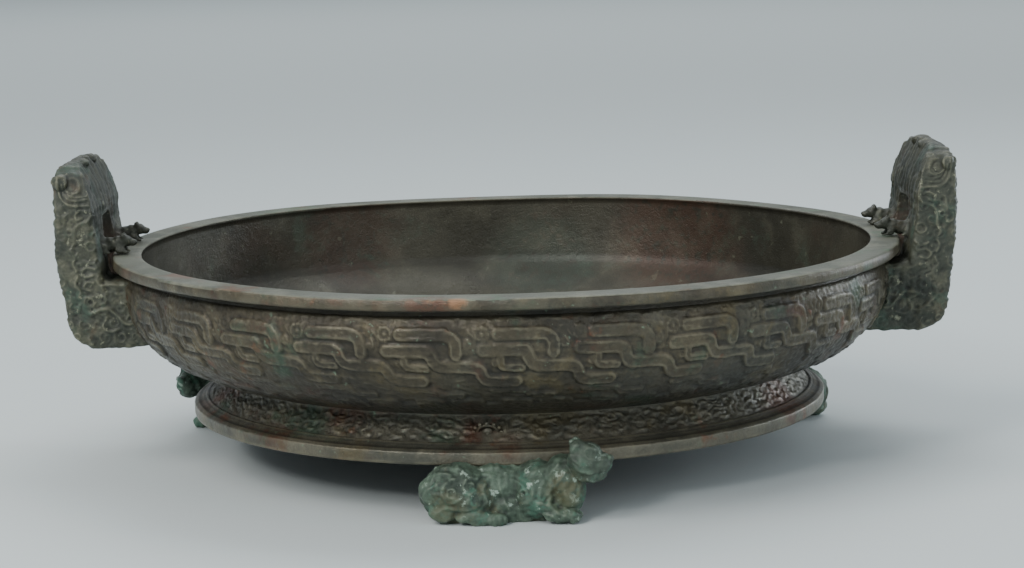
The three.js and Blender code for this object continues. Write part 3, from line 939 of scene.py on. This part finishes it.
# Ear handles, drawn for the right-hand one: outwards is +X
ear = dict(
    width=87, rise=46, thickness=19.5, lean=4, shoulder=25, legWidth=27.5, openingRise=18.5,
    openingRound=9, armTop=11, armHeight=34, armRoot=27, heelRound=15, crownRound=8, crownInset=10,
    crownFall=22, edge=2.2, voxel=0.62, curl=4.2, curlCount=4, curlStep=10, curlFirst=8,
    beastAside=23.5,
)
earInside = rimRadius
earBack = earInside + ear["lean"]
armTopZ = rimTop - ear["armTop"]
armBottomZ = armTopZ - ear["armHeight"]
crownZ = rimTop + ear["rise"]


def arcTo(start, control, end, count=6):
    points = []
    for i in range(1, count + 1):
        t = i / count
        points.append(tuple((1 - t) ** 2 * a + 2 * t * (1 - t) * b + t * t * c
                            for a, b, c in zip(start, control, end)))
    return points


def earSide():
    outside = earInside + ear["thickness"]
    lean, heel, crown = ear["lean"], ear["heelRound"], ear["crownRound"]
    root = earInside - ear["armRoot"]
    points = [(root, armBottomZ), (outside - heel, armBottomZ)]
    points += arcTo(points[-1], (outside - 1, armBottomZ + 2), (outside, armBottomZ + heel))
    points += [(outside + lean, rimTop), (outside + lean, crownZ - crown)]
    points += arcTo(points[-1], (outside + lean, crownZ), (outside + lean - crown, crownZ))
    points += [(earBack + ear["crownInset"], crownZ)]
    inset = ear["crownInset"] * 0.4
    points += arcTo(points[-1], (earBack + inset, crownZ - inset),
                    (earBack, crownZ - ear["crownFall"]))
    points += [(earBack, crownZ - (crownZ - armTopZ) * 0.55), (earInside, armTopZ), (root, armTopZ)]
    return points


def earFront():
    half = ear["width"] / 2
    open_ = half - ear["legWidth"]
    openTop = rimTop + ear["openingRise"]
    low = armBottomZ - 1
    rounding, shoulder = ear["openingRound"], ear["shoulder"]
    points = [(-half, low), (-open_, low), (-open_, openTop - rounding)]
    points += arcTo(points[-1], (-open_, openTop), (-open_ + rounding, openTop))
    points += [(open_ - rounding, openTop)]
    points += arcTo(points[-1], (open_, openTop), (open_, openTop - rounding))
    points += [(open_, low), (half, low), (half, crownZ - shoulder)]
    points += arcTo(points[-1], (half, crownZ), (half - shoulder, crownZ), 8)
    points += [(-half + shoulder, crownZ)]
    points += arcTo(points[-1], (-half, crownZ), (-half, crownZ - shoulder), 8)
    return points


# Turned cutter that stands for the bowl and rim, a little smaller than they are so that no gap shows
def bowlCutter(shrink=0.5):
    lower = rimTop - bowl["rimThickness"]
    points = [(0, rimTop + 0.1), (rimRadius - 1, rimTop + 0.1), (rimRadius + 0.3, rimTop - 1),
              (rimRadius + 0.3, lower), (neckRadius, lower - 0.6)]
    for depth in depthsBetween(8, 61, 24):
        radius, height = bodyPoint(depth, -shrink)
        points.append((float(radius), float(height)))
    points += [(0, points[-1][1])]
    cutter = turnedSheet("bowlCutter", 180, np.array(points))
    tidyMesh(cutter)
    return cutter


def cut(piece, other, operation='DIFFERENCE'):
    applyModifier(piece, 'BOOLEAN', object=other, operation=operation, solver='EXACT')


# Small crouching beast: tail in the ear, head over the rim towards the bowl.
# Each form is (inwards, aside, up) and its radii; those that are aside stand on both sides.
beastForms = [
    ((-0.5, 0, 4.6), (5.2, 4.2, 4.4)), ((5.5, 0, 4.4), (5.0, 3.3, 3.6)),
    ((9.5, 0, 5.2), (3.4, 3.2, 3.6)), ((13.0, 0, 6.2), (3.3, 3.0, 3.0)),
    ((16.2, 0, 5.4), (2.3, 2.0, 1.9)), ((17.8, 0, 5.9), (1.0, 1.3, 1.0)),
    ((11.8, 2.2, 8.9), (1.2, 0.9, 1.5)), ((14.3, 2.1, 7.3), (0.9, 0.8, 0.9)),
    ((10.5, 3.4, 2.2), (2.6, 1.3, 2.2)), ((13.0, 3.4, 1.0), (2.0, 1.2, 1.0)),
    ((1.5, 4.0, 2.9), (3.2, 1.5, 2.9)), ((4.0, 4.4, 0.9), (2.2, 1.2, 0.9)),
    ((0.2, 0, 8.6), (1.6, 1.2, 1.6)),
]


def beastParts(leg):
    y, seat = leg * ear["beastAside"], rimTop + 0.2
    parts = []
    for (inwards, aside, up), radii in beastForms:
        for side in ((1, -1) if aside else (1,)):
            centre = (earBack - inwards, y + side * aside, seat + up)
            parts.append(ellipsoid(centre, radii, segments=16, rings=10))
    return parts


# Relief of an ear's broad faces: paths go outwards from its inner edge and up from the rim, each
# with a width and a height
faceRidges = [
    ([(0.6, 47), (0.3, 40), (0.2, 28), (0.1, 12)], 1.3, 0.8),
    ([(17, 43), (16.8, 36), (15.6, 30.9), (12, 27.4), (6, 26.7), (1.8, 26.6)], 1.5, 0.9),
    ([(14.9, 37.5), (14.6, 34), (13.2, 31), (10.4, 29.3), (6, 29.4), (2.5, 30)], 1.1, 0.7),
    ([(12.8, 33.8), (11.4, 31.8), (8.6, 30.9), (5, 31.1), (2.5, 31.6)], 1.0, 0.6),
    ([(9.6, 39.6), (7.4, 38.6), (6.4, 35.8), (7.2, 33.4), (9.6, 32.6)], 1.5, 0.9),
    ([(2.2, 44.5), (5, 45.8), (8, 45.2), (10.4, 43.2)], 1.2, 0.7),
    ([(1.6, 47.2), (4.5, 48.4), (8, 47.6)], 1.1, 0.6),
    ([(1, 25.4), (1.2, 21.4), (3.2, 18.8), (7.2, 17.6), (9.4, 14.8), (9.6, 9.6)], 1.6, 0.9),
    ([(3.4, 23.6), (6, 24.2), (8.6, 22.6), (8.2, 19.8), (5.6, 20.4)], 1.2, 0.8),
    ([(13.6, 22), (14.6, 17), (14.2, 12.5), (15.4, 9)], 1.6, 0.5),
    ([(9.6, 8.4), (11.4, 4.4), (9.6, 1.2), (10.8, -2.2), (9.4, -5.6)], 1.5, 0.8),
    ([(5.4, -0.8), (1.2, -2.2), (-1.2, 0.2)], 1.2, 0.7),
    ([(0.4, -4.6), (4.6, -4.2), (6.8, -6.6), (4.6, -8.8), (1.4, -8)], 1.2, 0.8),
    ([(8.8, -8.4), (10.2, -12.4), (7.8, -15.4), (8.8, -19)], 1.5, 0.8),
    ([(1.2, -11.6), (4.8, -11.6), (5.8, -14.6), (2.6, -15.8)], 1.2, 0.8),
    ([(-3, -13.4), (-8, -12.8), (-13, -13.4), (-20, -13.4)], 1.3, 0.6),
    ([(1.6, -18.6), (5.4, -19.4), (5.6, -23), (2.2, -23.6), (0.6, -21.4)], 1.2, 0.8),
    ([(3, -27.6), (-1.6, -25.4), (-6.2, -25.2), (-10.2, -29), (-14.2, -32.6), (-19, -32),
      (-20.6, -29), (-17.6, -27.6)], 1.7, 1.0),
    ([(-4.6, -29.4), (-2.6, -33.8), (-6.6, -36.4), (-10.8, -35)], 1.4, 0.8),
    ([(-9.6, -17.6), (-13.8, -17.8), (-15.2, -21.2), (-12.2, -22.8), (-9.8, -21.2)], 1.3, 0.7),
    ([(-1, -17.8), (-4.2, -19), (-4.4, -22), (-1.8, -22.6)], 1.2, 0.7),
    ([(8.4, -22.6), (9.6, -26.8), (6.4, -30.6), (2, -34.4)], 1.6, 0.7),
]
faceEyes = [(10.6, 36.4, 1.9), (1.9, 6.4, 1.4), (3.0, -21.2, 0.9), (12.2, 13.5, 0.8),
            (-16.4, -30.0, 0.9)]


# Dense small coils in a staggered grid, each turned and moved a little by itself
def coilField(first, second, cell, seed):
    table = np.random.default_rng(seed).uniform(-1, 1, size=(64, 64, 3))
    row = np.floor(second / cell)
    column = np.floor(first / cell + 0.5 * (row % 2))
    own = table[row.astype(int) % 64, column.astype(int) % 64]
    x = first - (column + 0.5 - 0.5 * (row % 2) + 0.12 * own[:, 0]) * cell
    y = second - (row + 0.5 + 0.12 * own[:, 1]) * cell
    reach = np.hypot(x, y)
    winding = np.arctan2(y, x) * np.sign(own[:, 2]) + reach * 2 * math.pi / (cell * 0.38)
    coil = np.cos(winding + own[:, 2] * 3)
    return coil * step01((cell * 0.58 - reach) / (cell * 0.16)) * (0.65 + 0.35 * own[:, 1])


# Eyes: a raised ring around a pit
def addEyes(height, x, y, eyes, mask, ringShare, ringWidth, ringRise, pit):
    for eyeX, eyeY, size in eyes:
        distance = np.hypot(x - eyeX, y - eyeY)
        height = np.maximum(height, bell(distance - size * ringShare, ringWidth) * ringRise * mask)
        height = height - bell(distance, size) * pit * mask
    return height


earCarving = dict(
    ridges=0.85, coil=7.2, coilRise=0.4, backCoil=9.2, backCoilRise=0.6, rib=7.6, ribRise=0.95,
    topRib=6.5, topRibRise=0.6, eyeAside=27, eyeUp=33, eyePit=1.2,
)


def earRelief(points, normals):
    outwards, across, up = points[:, 0] - earBack, points[:, 1], points[:, 2] - rimTop
    carving = earCarving
    # both broad faces
    broad = step01((np.abs(normals[:, 1]) - 0.45) / 0.3) * step01((np.abs(across) - 33) / 5)
    ridges = [(curved(path), width, rise) for path, width, rise in faceRidges]
    height = ridgesAlong(outwards, up, ridges, 1.1, carving["ridges"]) * broad
    between = broad * step01((30 - up) / 6) * (1 - np.clip(height / 0.5, 0, 1))
    height += coilField(outwards, up, carving["coil"], 51) * carving["coilRise"] * between
    height = addEyes(height, outwards, up, faceEyes, broad, 1.7, 0.55, 0.7, 0.9)
    # ribs and two eyes on the side towards the bowl
    inner = step01((-normals[:, 0] - 0.5) / 0.25) * (up > 0)
    ribs = np.abs(np.sin(across * math.pi / carving["rib"])) ** 3
    arch = step01((up - ear["openingRise"] - 1) / 3)
    sides = step01((np.abs(across) - 17) / 2) * (up > 12)
    fade = 1 - 0.3 * np.abs(across) / (ear["width"] / 2)
    height += inner * np.clip(arch + sides, 0, 1) * (ribs * carving["ribRise"] - 0.25) * fade
    pits = bell(np.abs(across) - carving["eyeAside"], 2.0) * bell(up - carving["eyeUp"], 2.2)
    height -= inner * pits * carving["eyePit"]
    # coils on the outer side, ribs on the crown, and nothing underneath
    outer = step01((normals[:, 0] - 0.5) / 0.25)
    height += outer * coilField(across, up, carving["backCoil"], 52) * carving["backCoilRise"]
    top = step01((normals[:, 2] - 0.5) / 0.3) * (up > 30)
    height += top * carving["topRibRise"] * np.abs(np.sin(across * math.pi / carving["topRib"])) ** 3
    return height * (1 - step01((-normals[:, 2] - 0.6) / 0.3))


def earBody():
    body = prism(earSide(), -ear["width"] / 2, ear["width"] / 2, "XZ")
    applyModifier(body, 'BEVEL', width=ear["edge"] * mm, segments=2, limit_method='ANGLE',
                  angle_limit=math.radians(50))
    front = prism(earFront(), earInside - ear["armRoot"] - 4, earInside + ear["thickness"] + 12, "YZ")
    cut(body, front, 'INTERSECT')
    cutter = bowlCutter()
    cut(body, cutter)
    bpy.data.objects.remove(front)
    bpy.data.objects.remove(cutter)
    return body


# Curls down the outer edges and beside the middle of the outer side, and three knobs on the crown
def earTrim():
    curl = ear["curl"]
    outside = earBack + ear["thickness"]
    parts = []
    for leg in (-1, 1):
        parts += beastParts(leg)
        for i in range(ear["curlCount"]):
            height = crownZ - ear["curlFirst"] - i * ear["curlStep"]
            parts.append(ellipsoid((outside + 1.0 - curl, leg * (ear["width"] / 2 - 5.2), height),
                                   (curl, 4.6, 4.2)))
            parts.append(ellipsoid((outside + 0.7 - curl, leg * 14, height - 3), (curl, 5.6, 3.6)))
    parts.append(ellipsoid((earBack + 9, 0, crownZ - 0.6), (2.4, 2.8, 2.4)))
    for leg in (-1, 1):
        parts.append(ellipsoid((earBack + 9, leg * 11, crownZ - 1.2), (3.2, 3.6, 2.0)))
    return parts


def makeHandles():
    right = joinPieces("handleRight", [earBody()] + earTrim())
    voxelForm(right, ear["voxel"])
    points, normals = readPoints(right), readNormals(right)
    height = earRelief(points, normals)
    height += roughness(points, ((0.13, 3.0, 41, 14), (0.2, 8, 42, 12), (0.3, 24, 43, 9)))
    crust = 0.35 + 0.65 * step01((20 - np.abs(points[:, 2] - rimTop + 12)) / 20)
    height += 0.3 * np.cos(4.2 * unevenness(points, 15, 44, 10)) * crust
    # plain where the arms meet the bowl
    away = np.hypot(points[:, 0], points[:, 1]) - bodyRadius(np.clip(rimTop - points[:, 2], 7, 60))
    height *= step01(away / 2.5)
    writePoints(right, points + normals * height[:, None])
    activate(right)
    bpy.ops.object.duplicate()
    left = nameActive("handleLeft")
    writePoints(left, readPoints(left) * np.array([-1, -1, 1]))
    for piece, node in ((right, "handle_right"), (left, "handle_left")):
        activate(piece)
        bpy.ops.object.shade_smooth()
        markProudness(piece, spread=12, depth=1.0)
        finishPiece(piece, [node], [handleBronze])


makeHandles()
print("ear handles made")


# Recumbent animal foot: x is towards its head, y outwards from the basin, z up
animal = dict(
    length=84, depth=25, height=25, headRise=15, centre=160.5, backSlip=6, voxel=0.6, ringReach=161.8,
    ridges=0.7, soleDepth=0.9,
)
# Centre and radii as shares of the length, depth and height, and the tilt
bodyForms = [
    # trunk, rump, back and shoulder
    ((-0.05, -0.04, 0.26), (0.4, 0.42, 0.44), 0), ((-0.3, 0.08, 0.52), (0.2, 0.46, 0.56), 0),
    ((-0.05, -0.06, 0.58), (0.3, 0.4, 0.46), 0), ((0.14, 0.02, 0.62), (0.15, 0.44, 0.5), 0),
    # haunch, shoulder blade, neck and chest
    ((-0.24, 0.26, 0.44), (0.15, 0.28, 0.42), 0.2), ((0.13, 0.28, 0.5), (0.11, 0.26, 0.42), -0.2),
    ((0.27, 0.18, 0.78), (0.12, 0.32, 0.46), 0.5), ((0.31, 0.24, 0.5), (0.09, 0.28, 0.4), 0.4),
]
# Head, muzzle, jaw, brow, two ears and nose, with shares of the head's rise above the body
headForms = [
    ((0.4, 0.42, 0.28), (0.1, 0.27, 0.56), 0), ((0.475, 0.44, 0.14), (0.07, 0.2, 0.36), 0.1),
    ((0.44, 0.44, -0.2), (0.08, 0.18, 0.24), -0.15), ((0.42, 0.52, 0.6), (0.05, 0.14, 0.22), 0),
    ((0.35, 0.54, 0.72), (0.04, 0.1, 0.24), -0.9), ((0.35, 0.3, 0.72), (0.04, 0.1, 0.24), -0.9),
    ((0.53, 0.44, 0.3), (0.02, 0.12, 0.12), 0),
]
# Foreleg with its paw, hind leg with its paw, and the tail laid along the flank
legForms = [
    ((0.17, 0.44, 0.34), (0.11, 0.12, 0.13), 0.42), ((0.25, 0.46, 0.16), (0.09, 0.15, 0.14), 0.15),
    ((0.33, 0.46, 0.13), (0.05, 0.16, 0.13), 0), ((-0.19, 0.46, 0.15), (0.12, 0.13, 0.13), 0),
    ((-0.08, 0.46, 0.1), (0.06, 0.16, 0.12), 0), ((-0.37, 0.3, 0.24), (0.08, 0.22, 0.22), 0),
    ((-0.43, 0.16, 0.5), (0.06, 0.2, 0.26), 0),
]


def animalParts():
    tall, headRise = animal["height"], animal["headRise"]
    parts = []
    for forms, rise, base in ((bodyForms, tall, 0), (headForms, headRise, tall), (legForms, tall, 0)):
        size = np.array([animal["length"], animal["depth"], rise])
        for centre, radii, lift in forms:
            parts.append(ellipsoid(centre * size + np.array([0, 0, base]), radii * size, lift=lift))
    return parts


# Relief on the animal's outer side: paths of x and z, each with a width and a height
animalRidges = [
    ([(25, 24), (21, 20), (17.5, 15), (17, 9)], 2.2, 1.0),
    ([(21.5, 27), (17.5, 23), (13.6, 18), (12.4, 12)], 1.4, 0.8),
    ([(3, 21), (7.5, 18.5), (9.5, 14.5), (8, 10.5), (4.4, 9.4)], 1.8, 1.1),
    ([(0.4, 20), (4.6, 17.4), (6, 14), (4.6, 11.6)], 1.2, 0.7),
    ([(-8, 22), (-12, 19), (-12.5, 13.5), (-10, 8.5)], 1.7, 1.0),
    ([(-15, 21), (-19.5, 21.4), (-22, 17.8), (-19.4, 14.8), (-16.4, 16.6)], 1.4, 0.9),
    ([(-24, 22.4), (-29.4, 20), (-31.4, 14.6), (-28, 10.6), (-23.8, 12.4)], 1.5, 0.9),
    ([(-34, 19), (-38.5, 15.4), (-39.4, 10.6)], 1.4, 0.8),
    ([(-14, 9.6), (-19, 7.6), (-25, 7.4), (-31, 9)], 1.6, 0.8),
    ([(-5, 22.6), (-5.4, 17), (-3.4, 11), (-1.6, 6.6)], 1.2, 0.6),
    ([(10.4, 11), (16, 9), (21, 5.6), (25.4, 3)], 1.5, 0.8),
    ([(27.5, 28.6), (30.5, 25.6), (34.5, 24), (38.8, 24.6)], 1.2, 0.7),
    ([(36, 30.6), (39.6, 29.6), (43, 29.8)], 1.0, 0.7),
    ([(30, 37), (27.6, 34.4), (27.4, 31), (29.6, 29)], 1.3, 0.8),
]
animalEyes = [(35.6, 33.2, 1.5), (-18.6, 17.9, 1.1), (-27.2, 15.4, 1.2), (5.0, 14.6, 0.9)]


# Middle and spread of each paw along the foot
paws = ((28.5, 4.2), (-6.5, 4.6))


def animalRelief(points, normals):
    x, z = points[:, 0], points[:, 2]
    outer = step01((normals[:, 1] + 0.1) / 0.4)
    ridges = [(curved(path), width, rise) for path, width, rise in animalRidges]
    height = ridgesAlong(x, z, ridges, 1.1, animal["ridges"]) * outer
    height = addEyes(height, x, z, animalEyes, outer, 1.6, 0.5, 0.6, 0.7)
    for middle, spread in paws:
        toes = np.abs(np.sin((x - middle) * math.pi / 2.9)) ** 0.6
        near = np.exp(-((x - middle) / spread) ** 4) * step01((5.5 - z) / 2) * outer
        height -= 0.6 * near * (1 - toes)
    return height


# Turns the animal's own frame into place, with its head towards +angle and its outer side away from
# the axis. It is flat below and hollowed to carry the ring foot's lip.
def settleFoot(points, angle, radius):
    x, y, z = points.T
    out = np.array([math.cos(angle), math.sin(angle)])
    along = np.array([-out[1], out[0]])
    flat = (radius + y)[:, None] * out + x[:, None] * along
    z = np.where(z < animal["soleDepth"], np.maximum(z, 0) * 0.4, z)
    reach = np.hypot(flat[:, 0], flat[:, 1])
    gap = animal["ringReach"] - reach
    inside = (gap > 0) & (z > ringBottom - 0.1)
    sideways = inside & (gap < (z - ringBottom) * 0.8)
    flat[sideways] *= (animal["ringReach"] / reach[sideways])[:, None]
    z = np.where(inside & ~sideways, ringBottom - 0.1, z)
    return np.column_stack([flat, z])


def makeFoot(name, node, angle, slip, seed):
    piece = joinPieces(name, animalParts())
    voxelForm(piece, animal["voxel"])
    points, normals = readPoints(piece), readNormals(piece)
    height = animalRelief(points, normals)
    height += roughness(points, ((0.16, 3.2, seed, 14), (0.3, 9, seed + 1, 12),
                                 (0.35, 22, seed + 2, 9)))
    height += 0.25 * np.cos(4 * unevenness(points, 13, seed + 3, 10))
    points += normals * height[:, None]
    writePoints(piece, settleFoot(points, angle, animal["centre"] + slip))
    applyModifier(piece, 'SMOOTH', factor=0.3, iterations=1)
    tidyMesh(piece, 0.02)
    points = readPoints(piece)
    points[:, 2] = np.maximum(points[:, 2], 0)
    writePoints(piece, points)
    markProudness(piece, spread=12, depth=1.1)
    finishPiece(piece, [node], [footBronze])


makeFoot("footFront", "foot_front", footAngle(0), 0, 61)
makeFoot("footRight", "foot_right", footAngle(1), animal["backSlip"], 66)
makeFoot("footLeft", "foot_left", footAngle(2), animal["backSlip"], 71)
print("animal feet made")

dressed = [piece for piece in bpy.data.objects
           if piece.type == 'MESH' and piece.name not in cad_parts]
triangles = {piece.name: sum(len(face.vertices) - 2 for face in piece.data.polygons)
             for piece in dressed}
print("triangles", triangles, sum(triangles.values()))
